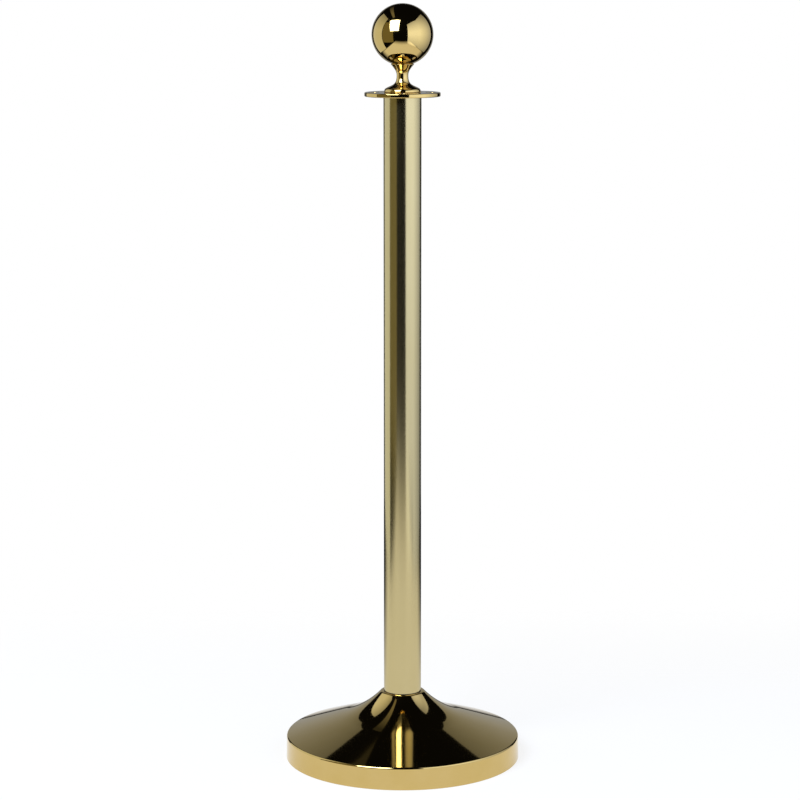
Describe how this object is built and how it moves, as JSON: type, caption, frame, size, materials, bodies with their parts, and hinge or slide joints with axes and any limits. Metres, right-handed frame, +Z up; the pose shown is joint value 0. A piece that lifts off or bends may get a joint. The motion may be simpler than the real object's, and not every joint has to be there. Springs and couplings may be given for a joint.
{
  "type": "post-and-rope stanchion",
  "caption": "Free-standing rope-barrier post: ball finial on a spool neck, flat round rope plate, round tube and a weighted trumpet-shaped base.",
  "frame": {"origin": "on the floor, under the axis of the tube", "axes": "+Z up along the tube to the ball; +X and +Y through the centres of the holes in the rope plate"},
  "size_m": [0.315, 0.315, 1.0125],
  "materials": {
    "polished_brass": "mirror polished and lacquered",
    "satin_brass": "satin polished along the tube, lacquered",
    "raw_brass": "turned",
    "zinc_steel": "zinc plated",
    "cast_iron": "as cast, black primer",
    "rubber": "matt moulded",
    "foam": "closed-cell foam",
    "nylon": "natural nylon",
    "black_plastic": "fine moulded grain"
  },
  "bodies": {
    "post": {"post_tube": "satin_brass", "top_plug": "zinc_steel", "bottom_plug": "zinc_steel", "plate_washer": "nylon", "tube_gasket": "rubber", "turn_stop_pin": "zinc_steel", "base_cover": "polished_brass", "cover_damper": "foam", "base_weight": "cast_iron", "floor_ring": "rubber", "flat_washer": "zinc_steel", "spring_washer": "zinc_steel", "base_bolt": "zinc_steel", "recess_cap": "black_plastic"},
    "plate": {"rope_plate": "polished_brass"},
    "lifted_washer": {"neck_washer": "nylon"},
    "finial": {"finial_ball": "polished_brass", "finial_neck": "polished_brass", "ball_bush": "raw_brass", "finial_stud": "zinc_steel"}
  },
  "joints": [
    {"name": "plate_turn", "type": "hinge", "parent": "post", "child": "plate", "pos_m": [0, 0, 0.89158], "axis": [0, 0, 1], "continuous": true},
    {"name": "finial_lift", "type": "slide", "parent": "post", "child": "lifted_washer", "axis": [0, 0, 1], "range_m": [0, 0.0135]},
    {"name": "finial_turn", "type": "hinge", "parent": "lifted_washer", "child": "finial", "pos_m": [0, 0, 0.93], "axis": [0, 0, 1], "range_deg": [0, 3240]}
  ],
  "couplings": [
    {"joint": "finial_lift", "follows": "finial_turn", "m_per_rad": 0.0002387}
  ]
}
